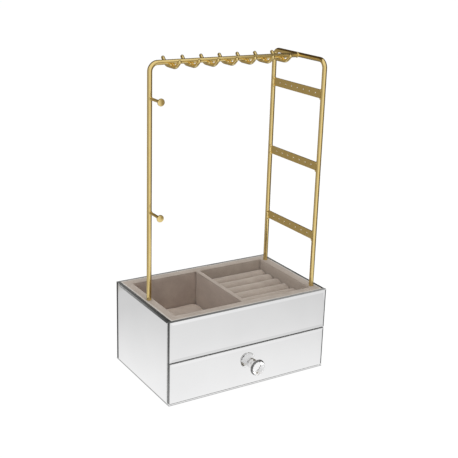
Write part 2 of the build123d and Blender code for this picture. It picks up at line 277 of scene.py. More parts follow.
def make_black_paper():
    """Black paper with a pressed leather-like grain, rubbed a little lighter in patches."""
    material, tree, shader = new_material("black wrapping paper")
    place = object_place(tree)
    grain = tree.nodes.new("ShaderNodeTexVoronoi")
    grain.inputs["Scale"].default_value = 900.0
    tree.links.new(place, grain.inputs["Vector"])
    wear = new_noise(tree, place, scale=70.0, detail=4.0, coarse=0.6)
    rubbed = [(0.35, (0.012, 0.0115, 0.011)), (0.75, (0.03, 0.0285, 0.027))]
    tree.links.new(color_ramp(tree, wear.outputs["Fac"], rubbed), shader.inputs["Base Color"])
    add_handling(tree, shader, roughness=0.55, change=0.1, size=60.0)
    add_bump(tree, shader, grain.outputs["Distance"], strength=0.25, distance=0.0003)
    return material


black_paper = make_black_paper()
for node in board_nodes:
    cover(node, black_paper)


# Mirror panels: silvered glass, 4 mm thick, with a shallow bevel ground round each front, and
# glued to the boards. The front and back panels cover the edges of the side ones.
arris = 0.0005
bevel_width = 0.0038
bevel_drop = 0.00022
side_bevel_width = 0.0029
# Width of a strip inside the arris; at some panel ends its faces carry a painted dark line.
edge_strip_width = 0.0013
shank_hole_radius = 0.0022
shank_hole_length = 0.02
touching = 1e-5


def grey(level):
    """A neutral grey."""
    return (level, level, level)


def clouded(tree, dark, light, size, detail, coarse):
    """A color that drifts between a darker and a lighter one, in soft clouds."""
    cloud = new_noise(tree, object_place(tree), size, detail, coarse)
    return color_ramp(tree, cloud.outputs["Fac"], [(0.3, dark), (0.7, light)])


def make_silvered_glass(name, dark, light):
    """Silvered glass: a clear reflection, faintly uneven as float glass is."""
    material, tree, shader = new_material(name)
    tones = [(level, level, level * 1.003) for level in (dark, light)]
    tree.links.new(clouded(tree, *tones, size=14.0, detail=3.0, coarse=0.5), shader.inputs["Base Color"])
    shader.inputs["Metallic"].default_value = 1.0
    add_handling(tree, shader, roughness=0.03, change=0.012, size=22.0)
    ripple = new_noise(tree, object_place(tree), scale=9.0, detail=2.0, coarse=0.4)
    add_bump(tree, shader, ripple.outputs["Fac"], strength=0.02, distance=0.002)
    return material


def make_edge_with_painted_shade(name, near, far, axis="Y", start=-0.074, stop=0.074, gloss=0.3):
    """The panel's ground edge with the wheel's lines, its level running from one value to another along an
    axis as painted shade and painted reflection.
    """
    material, tree, shader = new_material(name)
    place = object_place(tree)
    parts = tree.nodes.new("ShaderNodeSeparateXYZ")
    tree.links.new(place, parts.inputs[0])
    along = spread(tree, parts.outputs[axis], start, stop)
    ends = [plain_color(tree, (level, level * 1.01, level)) for level in (near, far)]
    shade = mix_colors(tree, along, *ends)
    ground = new_noise(tree, place, scale=700.0, detail=3.0, coarse=0.65)
    share = spread(tree, ground.outputs["Fac"], 0.35, 0.65, 0.45, 0.0)
    lines = plain_color(tree, grey(near * 0.6))
    tree.links.new(mix_colors(tree, share, shade, lines), shader.inputs["Base Color"])
    add_handling(tree, shader, roughness=0.4, change=0.08, size=300.0)
    shader.inputs["Specular IOR Level"].default_value = gloss
    return material


silvered_glass = make_silvered_glass("silvered glass", 0.85, 0.88)
# Painted reflection: two copies of the silvered glass, darker and lighter, for bevels whose reflections are
# painted dimmer or brighter than the panel's.
bevel_painted_dim = make_silvered_glass("bevel that shows a painted dim reflection", 0.73, 0.76)
bevel_painted_bright = make_silvered_glass("bevel that shows a painted bright reflection", 0.93, 0.95)
# The edge materials below are one ground edge in lighter and darker copies, each with a gradient along the
# panel: painted shade and painted reflection, set edge by edge. The pale copy puts painted light on the
# drawer's top edge inside the seam gap.
dark_edge = make_edge_with_painted_shade("ground glass edge", 0.045, 0.17, gloss=0.12)
mid_edge = make_edge_with_painted_shade("ground top edge", 0.12, 0.38, "X", -0.115, 0.115)
rear_edge = make_edge_with_painted_shade("ground rear edge", 0.19, 0.23)
pale_edge = make_edge_with_painted_shade("pale ground edge", 0.48, 0.56)
bare_edge = make_edge_with_painted_shade("bare ground edge", 0.03, 0.06)
# Painted reflection: a dark edge material, darkest at the front and paler to the back, for the left panel's
# top bevel and side edges.
painted_dark_bevel = make_edge_with_painted_shade("bevel with painted dark reflection", 0.045, 0.52, gloss=0.05)
corner_edge = make_edge_with_painted_shade("ground corner edge", 0.30, 0.03, "Z", 0.0, 0.08, gloss=0.12)
corner_arris = make_edge_with_painted_shade("ground corner arris", 0.45, 0.30, "Z", 0.0, 0.11)
# Painted shade: the left panel's front end strip runs from pale at the foot to dark at the top.
painted_corner_strip = make_edge_with_painted_shade("corner strip with painted shade", 0.95, 0.04, "Z", 0.0, 0.10, gloss=0.05)


def add_block(name, low, high):
    """A block between two corners, alone in the selection."""
    bpy.ops.object.select_all(action="DESELECT")
    bpy.ops.mesh.primitive_cube_add(size=1.0, location=(low + high) / 2)
    block = bpy.context.object
    block.name = name
    block.scale = high - low
    bpy.ops.object.transform_apply(location=True, rotation=True, scale=True)
    return block


def pick(piece, kind, wanted):
    """In edit mode, selects only the vertices, edges or faces that pass the test."""
    mesh = bmesh.from_edit_mesh(piece.data)
    for element in (*mesh.faces, *mesh.edges, *mesh.verts):
        element.select = False
    for element in getattr(mesh, kind):
        if wanted(element):
            element.select_set(True)
    bmesh.update_edit_mesh(piece.data)


def apply_modifiers(piece):
    """Applies each modifier of a piece in turn."""
    bpy.ops.object.select_all(action="DESELECT")
    bpy.context.view_layer.objects.active = piece
    piece.select_set(True)
    for modifier in list(piece.modifiers):
        bpy.ops.object.modifier_apply(modifier=modifier.name)


def cut_away(piece, cutter):
    """Takes a cutter's shape out of a piece."""
    cut = piece.modifiers.new("cut", "BOOLEAN")
    cut.operation = "DIFFERENCE"
    cut.solver = "EXACT"
    cut.object = cutter
    apply_modifiers(piece)
    bpy.data.objects.remove(cutter, do_unlink=True)


def add_cylinder(name, middle, heading, radius, length, sides):
    """A cylinder about a middle point, along a heading."""
    bpy.ops.object.select_all(action="DESELECT")
    bpy.ops.mesh.primitive_cylinder_add(
        vertices=sides, radius=radius, depth=length, location=middle,
        rotation=heading.to_track_quat("Z", "Y").to_euler(),
    )
    cylinder = bpy.context.object
    cylinder.name = name
    bpy.ops.object.transform_apply(location=True, rotation=True, scale=True)
    return cylinder


def put_in_place(piece, body, slot, *stood_for):
    """Lets a piece move with its body and stand for its solids. Its slot is not used."""
    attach(piece, body)
    if stood_for:
        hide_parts(*stood_for)


def add_mirror(node, facing, body, top_edge, side_edge, bevel=bevel_width,
               top_bevel=None, low_bevel=None, end_bevel=None, end_strip=None):
    """One panel, its front pointing along facing, ground to a shallow bevel."""
    low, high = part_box(node)
    panel = add_block(node + "_panel", low, high)
    middle = (low + high) / 2
    half = (high - low) / 2
    wide = [axis for axis in range(3) if abs(facing[axis]) < 0.5]

    def margin(place):
        """How far a place lies inside the panel's outline."""
        return min(half[axis] - abs(place[axis] - middle[axis]) for axis in wide)

    def on_front(vertex):
        """Whether a vertex belongs to the panel's front."""
        return (vertex.co - middle).dot(facing) > half.dot(Vector(map(abs, facing))) - 2 * bevel_drop

    bpy.ops.object.mode_set(mode="EDIT")
    pick(panel, "faces", lambda face: face.normal.dot(facing) > 0.9)
    bpy.ops.mesh.inset(thickness=arris)
    bpy.ops.mesh.inset(thickness=edge_strip_width)
    bpy.ops.mesh.inset(thickness=bevel - edge_strip_width)
    for reach, drop in ((bevel, 1 - edge_strip_width / bevel), (edge_strip_width, edge_strip_width / bevel)):
        pick(panel, "verts", lambda vertex: on_front(vertex) and margin(vertex.co) < reach)
        bpy.ops.transform.translate(value=-facing * bevel_drop * drop)
    pick(panel, "verts", lambda vertex: margin(vertex.co) < touching
         and (vertex.co - middle).dot(facing) > 0)
    bpy.ops.transform.translate(value=-facing * arris)
    bpy.ops.object.mode_set(mode="OBJECT")
    if node == "drawer_mirror":
        shank_low, shank_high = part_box("knob_crystal")
        shank_place = (shank_low + shank_high) / 2
        shank_place.y = middle.y
        shank_hole = add_cylinder(
            "shank hole", shank_place, front, shank_hole_radius, shank_hole_length, sides=32
        )
        cut_away(panel, shank_hole)

    silvered, side, top, upper, lower, end, strip, corner, corner_slope = range(9)
    for material in (silvered_glass, side_edge, top_edge, top_bevel or silvered_glass,
                     low_bevel or silvered_glass, end_bevel or silvered_glass,
                     end_strip or silvered_glass, corner_edge, corner_arris):
        panel.data.materials.append(material)
    # Painted shade: the narrow strip inside the arris, at the front panels' right end and the side panels'
    # front end, takes a dark edge material to draw a dark line there.
    painted_dark_right = high.x - arris - edge_strip_width
    painted_strip_front = low.y + arris + edge_strip_width
    for face in panel.data.polygons:
        if face.normal.dot(facing) > 0.95:
            if facing == front and face.center.x > painted_dark_right:
                face.material_index = side
            elif abs(face.normal.z) > 0.01:
                face.material_index = upper if face.normal.z > 0 else lower
            elif facing != front and face.normal.y < -0.01:
                face.material_index = strip if face.center.y < painted_strip_front else end
            else:
                face.material_index = silvered
        elif face.normal.z > 0.3:
            face.material_index = top
        elif facing == front and face.normal.x < -0.3:
            face.material_index = corner if face.normal.x < -0.9 else corner_slope
        else:
            face.material_index = side
    put_in_place(panel, body, "mirror_glass", node)


left = Vector((-1, 0, 0))
right = Vector((1, 0, 0))
front = Vector((0, -1, 0))
back = Vector((0, 1, 0))
up = Vector((0, 0, 1))

add_mirror("left_mirror", left, "case", dark_edge, painted_dark_bevel, side_bevel_width,
           top_bevel=painted_dark_bevel, end_bevel=bevel_painted_dim, end_strip=painted_corner_strip)
add_mirror("right_mirror", right, "case", dark_edge, dark_edge, side_bevel_width)
add_mirror("back_mirror", back, "case", rear_edge, bare_edge)
add_mirror("upper_front_mirror", front, "case", mid_edge, dark_edge, low_bevel=bevel_painted_dim)


# Velvet rim: greige velvet drawn over the top edges of the boards and the partition, with its
# edges rolled down into the two trays, and pinched where the three rods go through it.
rim_low, rim_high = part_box("velvet_rim")
left_tray_low, left_tray_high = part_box("left_liner")
right_tray_low, right_tray_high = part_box("right_liner")
card = 0.001
rim_roll = 0.001
hem_width = 0.0026
hem_fade = 0.0008
hem_strength = 0.8
hem_color = (0.52, 0.495, 0.462)
cloth_step = 0.007
rod_radius = 0.003
rod_slack = 1.04
ladder_low, ladder_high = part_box("ladder_rod")
post_low, post_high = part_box("main_rod")
post_place = Vector((post_low.x + rod_radius, 0, 0))
leg_places = [
    Vector((ladder_high.x - rod_radius, ladder_low.y + rod_radius, 0)),
    Vector((ladder_high.x - rod_radius, ladder_high.y - rod_radius, 0)),
]

velvet_tones = ((0.385, 0.325, 0.278), (0.47, 0.403, 0.348), (0.245, 0.199, 0.164))
velvet_patch = 55.0
velvet_fibre = 1500.0
velvet_sheen = 0.6


def greige_velvet(name, painted_lightness, tint=(1.0, 1.0, 1.0)):
    """The one velvet, made lighter or darker by a factor that paints in light and shade."""
    tones = [[part * painted_lightness * share for part, share in zip(tone, tint)] for tone in velvet_tones]
    return napped_cloth(name, *tones, velvet_patch, velvet_fibre, velvet_sheen)


# Painted light: the rim, the cards and the deep tray take copies of the one velvet that differ only in
# lightness, the inner ones lighter where the trays are in shade. The deep tray's copy is also tinted
# warmer, as painted light bounced between its walls.
rim_velvet = greige_velvet("greige velvet on the rim", 0.95)
lining_velvet = greige_velvet("greige velvet on cards", 1.12)
deep_velvet = greige_velvet("greige velvet in the deep tray", 1.09, (1.0, 0.965, 0.965))


def reopen_cloth(material):
    """A cloth's tree and shader, the color that now reaches it, and the point's three parts."""
    tree = material.node_tree
    shader = tree.nodes["Principled BSDF"]
    parts = tree.nodes.new("ShaderNodeSeparateXYZ")
    tree.links.new(object_place(tree), parts.inputs[0])
    return tree, shader, shader.inputs["Base Color"].links[0].from_socket, parts.outputs


def add_hem(material, hem_start, color):
    """Tints a narrow band along the rim's outer edges a paler grey."""
    tree, shader, cloth, parts = reopen_cloth(material)
    shares = []
    for axis, start in zip("XY", hem_start):
        size = calculate(tree, "ABSOLUTE", parts[axis])
        shares.append(spread(tree, size, start, start + hem_fade, 0.0, hem_strength))
    share = calculate(tree, "MAXIMUM", *shares)
    hem = mix_colors(tree, share, cloth, plain_color(tree, color))
    tree.links.new(hem, shader.inputs["Base Color"])


def scale_color(tree, color, factor):
    """A color made lighter or darker by a factor that changes over the surface."""
    scale = tree.nodes.new("ShaderNodeVectorMath")
    scale.operation = "SCALE"
    tree.links.new(color, scale.inputs[0])
    tree.links.new(factor, scale.inputs["Scale"])
    return scale.outputs[0]


def paint_shade_along(material, axis, low, high, at_low, at_high):
    """Paints shade on a cloth: darker at one end and lighter at the other."""
    tree, shader, cloth, parts = reopen_cloth(material)
    factor = spread(tree, parts[axis], low, high, at_low, at_high)
    tree.links.new(scale_color(tree, cloth, factor), shader.inputs["Base Color"])


def cut_lines(piece, low, high, step, axes):
    """Cuts a piece across into even bands, so that its surface can swell and sag."""
    bpy.ops.object.mode_set(mode="EDIT")
    for axis in axes:
        bands = max(1, round((high[axis] - low[axis]) / step))
        normal = Vector((axis == 0, axis == 1, axis == 2))
        for n in range(1, bands):
            bpy.ops.mesh.select_all(action="SELECT")
            point = low.copy()
            point[axis] += (high[axis] - low[axis]) * n / bands
            bpy.ops.mesh.bisect(plane_co=point, plane_no=normal)
    bpy.ops.object.mode_set(mode="OBJECT")


def open_window(piece, low, high):
    """Cuts a rectangular window down through a flat piece and closes its four walls."""
    bpy.ops.object.mode_set(mode="EDIT")
    for corner in (low, high):
        for normal in (right, back):
            bpy.ops.mesh.select_all(action="SELECT")
            bpy.ops.mesh.bisect(plane_co=corner, plane_no=normal)

    def inside(face):
        """Whether a face lies inside the window."""
        middle = face.calc_center_median()
        return low.x < middle.x < high.x and low.y < middle.y < high.y

    pick(piece, "faces", inside)
    bpy.ops.mesh.delete(type="FACE")
    pick(piece, "edges", lambda edge: edge.is_boundary)
    bpy.ops.mesh.bridge_edge_loops()
    bpy.ops.object.mode_set(mode="OBJECT")


def bevel_picked(piece, kind, wanted, width, segments):
    """Rounds over the edges of what passes the test."""
    bpy.ops.object.mode_set(mode="EDIT")
    pick(piece, kind, wanted)
    bpy.ops.mesh.bevel(offset=width, segments=segments, affect="EDGES")
    bpy.ops.object.mode_set(mode="OBJECT")


def soften(piece, amount, size, moves, seed=0.0):
    """Moves the vertices that pass a test by a smooth noise, as cloth lies over a board."""
    shift = Vector((seed, seed * 0.7, seed * 1.3))
    for vertex in piece.data.vertices:
        direction = moves(vertex.co)
        if direction is not None:
            vertex.co += direction * amount * noise.noise(vertex.co * size + shift)


def smooth_below(degrees):
    """Shades the selected piece smooth, but for its sharper edges."""
    bpy.ops.object.shade_smooth_by_angle(angle=math.radians(degrees))


rim = add_block("velvet_rim_cover", rim_low, rim_high)
cut_lines(rim, rim_low, rim_high, cloth_step, axes=(0, 1))
for tray_low, tray_high in ((left_tray_low, left_tray_high), (right_tray_low, right_tray_high)):
    window_low = tray_low + Vector((card, card, 0))
    window_high = tray_high - Vector((card, card, 0))
    open_window(rim, window_low, window_high)

    def on_lip(edge):
        """Whether an edge runs along the window's upper lip."""
        one, other = (vertex.co for vertex in edge.verts)
        middle = (one + other) / 2
        gap_x = min(abs(middle.x - window_low.x), abs(middle.x - window_high.x))
        gap_y = min(abs(middle.y - window_low.y), abs(middle.y - window_high.y))
        runs_x = abs(one.x - other.x) > touching
        within = window_low.x - touching < middle.x < window_high.x + touching
        within = within and window_low.y - touching < middle.y < window_high.y + touching
        flat = abs(one.z - rim_high.z) + abs(other.z - rim_high.z) < touching
        return flat and within and (gap_y < touching if runs_x else gap_x < touching)

    bevel_picked(rim, "edges", on_lip, rim_roll, segments=4)
soften(rim, amount=0.0003, size=45.0,
       moves=lambda place: up if place.z > rim_high.z - touching else None)
for place in (post_place, *leg_places):
    hole_middle = place + up * rim_high.z
    rod_hole = add_cylinder("rod hole", hole_middle, up, rod_radius * rod_slack, length=0.01, sides=24)
    cut_away(rim, rod_hole)
smooth_below(40)
add_hem(rim_velvet, (rim_high.x - hem_width, rim_high.y - hem_width), hem_color)
rim.data.materials.append(rim_velvet)
put_in_place(rim, "case", "velvet", "velvet_rim")


# Tray linings: four velvet-covered cards stand round each tray, the long ones front and back
# and the short ones between them, and meet in a dark crease in each corner.
card_edge = 0.0004
card_step = 0.005
crease = 0.0008


def round_edges(piece, width, segments, degrees=30):
    """Rounds every edge of a piece that is sharper than an angle."""
    rounding = piece.modifiers.new("rounded edges", "BEVEL")
    rounding.width = width
    rounding.segments = segments
    rounding.limit_method = "ANGLE"
    rounding.angle_limit = math.radians(degrees)
    apply_modifiers(piece)


def velvet_card(name, low, high, inward, seed, cloth=lining_velvet):
    """One covered card, its faces a little uneven and its edges soft."""
    piece = add_block(name, low, high)
    cut_lines(piece, low, high, card_step, axes=(0, 1, 2))
    round_edges(piece, card_edge, 3)
    middle = (low + high) / 2
    soften(piece, amount=0.0004, size=38.0, seed=seed,
           moves=lambda place: inward if (place - middle).dot(inward) > 0 else None)
    smooth_below(50)
    piece.data.materials.append(cloth)
    return piece


def join_pieces(name, parts):
    """Makes one piece of several."""
    bpy.ops.object.select_all(action="DESELECT")
    for part in parts:
        part.select_set(True)
    bpy.context.view_layer.objects.active = parts[0]
    bpy.ops.object.join()
    parts[0].name = name
    return parts[0]


def card_ring(name, low, high, seed, cloth=lining_velvet):
    """Four cards round the inside of a box, with a narrow crease between them."""
    side_low = low + Vector((0, card + crease, 0))
    side_high = high - Vector((0, card + crease, 0))
    return [
        velvet_card(name, low, Vector((high.x, low.y + card, high.z)), back, seed, cloth),
        velvet_card(name, Vector((low.x, high.y - card, low.z)), high, front, seed + 3, cloth),
        velvet_card(name, side_low, Vector((low.x + card, side_high.y, high.z)), right, seed + 6, cloth),
        velvet_card(name, Vector((high.x - card, side_low.y, low.z)), side_high, left, seed + 9, cloth),
    ]


left_cards = card_ring("left card", left_tray_low, left_tray_high, 1, deep_velvet)
put_in_place(join_pieces("left_tray_lining", left_cards), "case", "velvet", "left_liner")
right_cards = card_ring("right card", right_tray_low, right_tray_high, 20)
put_in_place(join_pieces("right_tray_lining", right_cards), "case", "velvet", "right_liner")


# Floor pad of the deep tray: a sheet of foam in a velvet sleeve, with round corners, a rolled
# edge and a low crown. It lies loose on the tray's floor.
pad_low, pad_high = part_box("floor_pad")
pad_corner = 0.009
pad_edge = 0.0014
pad_crown = 0.0006
pad_voxel = 0.0012


def even_mesh(piece, voxel):
    """Gives a foam piece small even faces."""
    remesh = piece.modifiers.new("even mesh", "REMESH")
    remesh.mode = "VOXEL"
    remesh.voxel_size = voxel
    apply_modifiers(piece)


def vertical(edge):
    """Whether an edge stands upright."""
    return abs(edge.verts[0].co.z - edge.verts[1].co.z) > touching


floor_pad = add_block("deep_tray_pad", pad_low, pad_high)
bevel_picked(floor_pad, "edges", vertical, pad_corner, segments=8)
bevel_picked(floor_pad, "faces", lambda face: abs(face.normal.z) > 0.9, pad_edge, segments=4)
even_mesh(floor_pad, pad_voxel)
pad_middle = (pad_low + pad_high) / 2
pad_half = (pad_high - pad_low) / 2
for vertex in floor_pad.data.vertices:
    out = vertex.co - pad_middle
    crown = (1 - (out.x / pad_half.x) ** 2) * (1 - (out.y / pad_half.y) ** 2)
    if out.z > 0:
        vertex.co.z += pad_crown * crown
soften(floor_pad, amount=0.0005, size=42.0, seed=5.0,
       moves=lambda place: up if place.z > pad_middle.z else None)
bpy.ops.object.shade_smooth()
# Painted light and shade: the pad's velvet is made much lighter, then painted darker towards the front,
# where the front wall shades it.
pad_velvet = greige_velvet("greige velvet on the pad", 1.62)
paint_shade_along(pad_velvet, "Y", low=0.03, high=0.055, at_low=0.60, at_high=0.86)
floor_pad.data.materials.append(pad_velvet)
put_in_place(floor_pad, "case", "velvet_pad", "floor_pad")


# Ring cushion: a covered base carries six foam rolls, each wrapped in velvet with its ends
# tucked in round. They are pressed side by side, and rings are pushed into the grooves.
# Painted light: the rolls take their own copy of the one velvet, a little lighter than the rim's.
roll_velvet = greige_velvet("greige velvet on rolls", 0.98)
cover("ring_base", roll_velvet)
roll_count = 6
roll_round = 0.0092
roll_end = 0.0045
roll_voxel = 0.0013


def own_copy(piece, name, shift):
    """A copy of a piece with its own mesh, moved by a shift."""
    twin = piece.copy()
    twin.data = piece.data.copy()
    twin.name = name
    twin.data.transform(Matrix.Translation(shift))
    bpy.context.scene.collection.objects.link(twin)
    return twin


def make_roll(low, high):
    """One roll: a block with its top rounded over and its ends drawn in."""
    roll = add_block("velvet_roll_1", low, high)

    def on_top(edge):
        """Whether an edge runs along the top of the block."""
        one, other = (vertex.co for vertex in edge.verts)
        return abs(one.x - other.x) > touching and one.z > high.z - touching

    bevel_picked(roll, "edges", on_top, roll_round, segments=8)
    bevel_picked(roll, "faces", lambda face: abs(face.normal.x) > 0.9, roll_end, segments=5)
    even_mesh(roll, roll_voxel)
    bpy.ops.object.shade_smooth()
    roll.data.materials.append(roll_velvet)
    return roll


first_low, first_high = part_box("ring_roll_1")
roll_middle = (first_low + first_high) / 2
rolls = [make_roll(first_low, first_high)]
for number in range(2, roll_count + 1):
    low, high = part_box(f"ring_roll_{number}")
    rolls.append(own_copy(rolls[0], f"velvet_roll_{number}", low - first_low))
for number, roll in enumerate(rolls, 1):
    soften(roll, amount=0.0006, size=30.0, seed=number * 4.0,
           moves=lambda place: up if place.z > roll_middle.z else None)
    soften(roll, amount=0.0005, size=26.0, seed=number * 7.0,
           moves=lambda place: back if place.z > roll_middle.z else None)
    put_in_place(roll, "case", "velvet_pad", f"ring_roll_{number}")


# Drawer: a wrapped box with its own mirror panel on the front. Velvet lines its floor and
# walls and is turned out over the tops of the sides and the back.
drawer_lining_low, drawer_lining_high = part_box("drawer_liner")
drawer_floor_low, drawer_floor_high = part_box("drawer_bottom")
drawer_side_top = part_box("drawer_left_side")[1].z
add_mirror("drawer_mirror", front, "drawer", pale_edge, dark_edge, top_bevel=bevel_painted_bright)

well_low = Vector((drawer_floor_low.x, drawer_floor_low.y, drawer_floor_high.z))
well_high = Vector((drawer_floor_high.x, drawer_floor_high.y, drawer_side_top))
lip_low = Vector((drawer_lining_low.x, drawer_lining_low.y, drawer_side_top))
lip = add_block("drawer lip", lip_low, drawer_lining_high)
cut_lines(lip, lip_low, drawer_lining_high, cloth_step, axes=(0, 1))
open_window(lip, well_low + Vector((card, card, 0)), well_high - Vector((card, card, 0)))
round_edges(lip, card_edge, 3)
soften(lip, amount=0.0002, size=45.0, seed=3.0,
       moves=lambda place: up if place.z > lip_low.z + card / 2 else None)
smooth_below(50)
lip.data.materials.append(rim_velvet)
floor_high = Vector((well_high.x, well_high.y, well_low.z + card))
well_floor = velvet_card("drawer floor", well_low, floor_high, up, 40)
well_walls = card_ring("drawer card", well_low + up * card, well_high, 50)
drawer_lining = join_pieces("drawer_lining", [lip, well_floor, *well_walls])
put_in_place(drawer_lining, "drawer", "velvet", "drawer_liner")


# Knob: a turned, chromed base holds a cut crystal, and a zinc-plated screw from inside the
# drawer holds both. The crystal has a flat table, a crown, a girdle and a pavilion.
base_low, base_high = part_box("knob_base")
crystal_low, crystal_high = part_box("knob_crystal")
knob_middle = (base_low + base_high) / 2
knob_middle.y = base_high.y
rosette_radius = (base_high.z - base_low.z) / 2
base_length = base_high.y - base_low.y
neck_radius = 0.0040
seat_radius = 0.0060


def make_metal(name, dark, light, roughness, change, size):
    """A plated metal, faintly clouded in color and uneven in gloss."""
    material, tree, shader = new_material(name)
    tree.links.new(clouded(tree, dark, light, size, 4.0, 0.55), shader.inputs["Base Color"])
    shader.inputs["Metallic"].default_value = 1.0
    add_handling(tree, shader, roughness, change, size * 2)
    return material


chrome = make_metal("chromed knob base", grey(0.70), grey(0.80), roughness=0.12, change=0.03, size=120.0)
screw_zinc = make_metal("zinc-plated screw", (0.42, 0.42, 0.43), (0.55, 0.55, 0.56),
                        roughness=0.35, change=0.08, size=300.0)


def turned_piece(name, foot, heading, sides, stations, facet_turn=0.0):
    """A turned shape: rings of the given radii at the given distances from the foot.

    A facet turn sets each ring against the last one, which makes three-cornered facets.
    """
    bpy.ops.object.select_all(action="DESELECT")
    bpy.ops.mesh.primitive_circle_add(
        vertices=sides, radius=stations[0][1], fill_type="NGON", location=foot + heading * stations[0][0],
        rotation=heading.to_track_quat("Z", "Y").to_euler(),
    )
    piece = bpy.context.object
    piece.name = name
    bpy.ops.object.transform_apply(location=True, rotation=True, scale=True)
    bpy.ops.object.mode_set(mode="EDIT")
    bpy.ops.mesh.select_all(action="SELECT")
    for (before, radius_before), (distance, radius) in zip(stations, stations[1:]):
        bpy.ops.mesh.extrude_region_move(
            TRANSFORM_OT_translate={"value": heading * (distance - before)}
        )
        ring_middle = foot + heading * distance
        bpy.ops.transform.resize(value=(radius / radius_before,) * 3, center_override=ring_middle)
        if facet_turn:
            bpy.ops.transform.rotate(value=facet_turn, orient_axis="Y", center_override=ring_middle)
    bpy.ops.mesh.select_all(action="SELECT")
    bpy.ops.mesh.normals_make_consistent(inside=False)
    bpy.ops.object.mode_set(mode="OBJECT")
    return piece


knob_base = turned_piece("turned_knob_base", knob_middle, front, 48, [
    (0.0, rosette_radius), (0.0006, rosette_radius), (0.0010, rosette_radius - 0.0005),
    (0.0014, 0.0046), (0.0020, neck_radius), (0.0034, neck_radius), (0.0040, 0.0052),
    (0.0044, seat_radius), (base_length, seat_radius),
])
smooth_below(35)
knob_base.data.materials.append(chrome)
put_in_place(knob_base, "drawer", "chrome_metal", "knob_base")


def make_crystal():
    """Clear pressed and polished glass."""
    material, tree, shader = new_material("cut crystal")
    seed = new_noise(tree, object_place(tree), scale=260.0, detail=2.0)
    clear = color_ramp(tree, seed.outputs["Fac"], [(0.0, grey(0.91)), (1.0, grey(0.97))])
    tree.links.new(clear, shader.inputs["Base Color"])
    shader.inputs["Roughness"].default_value = 0.0
    shader.inputs["IOR"].default_value = 1.52
    shader.inputs["Transmission Weight"].default_value = 1.0
    return material


def mix_shaders(tree, share, first, second):
    """Shows the first shader where the share is 0 and the second where it is 1."""
    mix = tree.nodes.new("ShaderNodeMixShader")
    tree.links.new(share, mix.inputs[0])
    tree.links.new(first, mix.inputs[1])
    tree.links.new(second, mix.inputs[2])
    return mix.outputs[0]


def make_foil_back(name, dark, light, metallic=1.0):
    """Silver laid on the crystal's back and flank, and what covers it outside."""
    material, tree, shader = new_material(name)
    outside = clouded(tree, grey(dark), grey(light), size=240.0, detail=3.0, coarse=0.6)
    tree.links.new(outside, shader.inputs["Base Color"])
    shader.inputs["Metallic"].default_value = metallic
    add_handling(tree, shader, roughness=0.2, change=0.05, size=200.0)
    silver = tree.nodes.new("ShaderNodeBsdfPrincipled")
    silver.inputs["Base Color"].default_value = (0.95, 0.95, 0.95, 1)
    silver.inputs["Metallic"].default_value = 1.0
    silver.inputs["Roughness"].default_value = 0.03
    within = tree.nodes.new("ShaderNodeNewGeometry").outputs["Backfacing"]
    sides = mix_shaders(tree, within, shader.outputs[0], silver.outputs[0])
    tree.links.new(sides, tree.nodes["Material Output"].inputs["Surface"])
    return material


facet_count = 16
girdle_radius = (crystal_high.z - crystal_low.z) / 2
glue_gap = 0.00005
girdle_start = base_length + 0.0060
girdle_end = base_length + 0.0068
flank_end = base_length + 0.0095
table_place = base_length + crystal_high.y - crystal_low.y
table_radius = 0.0087
crystal = turned_piece("cut_crystal", knob_middle, front, facet_count, [
    (base_length + glue_gap, seat_radius), (base_length + 0.0028, 0.0084),
    (girdle_start, girdle_radius - 0.0001), (girdle_end, girdle_radius),
    (flank_end, girdle_radius - 0.0014), (table_place, table_radius),
], facet_turn=math.pi / facet_count)
bpy.ops.object.mode_set(mode="EDIT")
bpy.ops.mesh.select_all(action="SELECT")
bpy.ops.mesh.quads_convert_to_tris()
bpy.ops.object.mode_set(mode="OBJECT")
glass, painted_dark_flank, silver_seat, silver_girdle = range(4)
crystal.data.materials.append(make_crystal())
# Painted reflection: the flank's outside is a dark grey that stands in for the dark reflection a cut
# crystal shows on its flank.
crystal.data.materials.append(make_foil_back("foil flank with painted dark reflection", 0.11, 0.20, 0.3))
crystal.data.materials.append(make_foil_back("silver seat", 0.74, 0.86))
crystal.data.materials.append(make_foil_back("silver girdle", 0.84, 0.92, 0.6))
for face in crystal.data.polygons:
    depth = knob_middle.y - face.center.y
    if depth < base_length + 0.0002:
        face.material_index = silver_seat
    elif girdle_end < depth < flank_end:
        face.material_index = painted_dark_flank
    elif girdle_start < depth < girdle_end:
        face.material_index = silver_girdle
    else:
        face.material_index = glass
put_in_place(crystal, "drawer", "crystal", "knob_crystal")
cover("knob_screw", screw_zinc)


# Bent rods: 6 mm steel wire, bent on a mandrel and plated a satin gold. One rod is the left
# post and the bar, the other is the ladder's two legs and the top between them.
bend_radius = 0.010
bar_overlap = 0.0006
gold = make_metal("satin gold plating", (0.78, 0.60, 0.25), (0.84, 0.665, 0.295),
                  roughness=0.15, change=0.04, size=90.0)


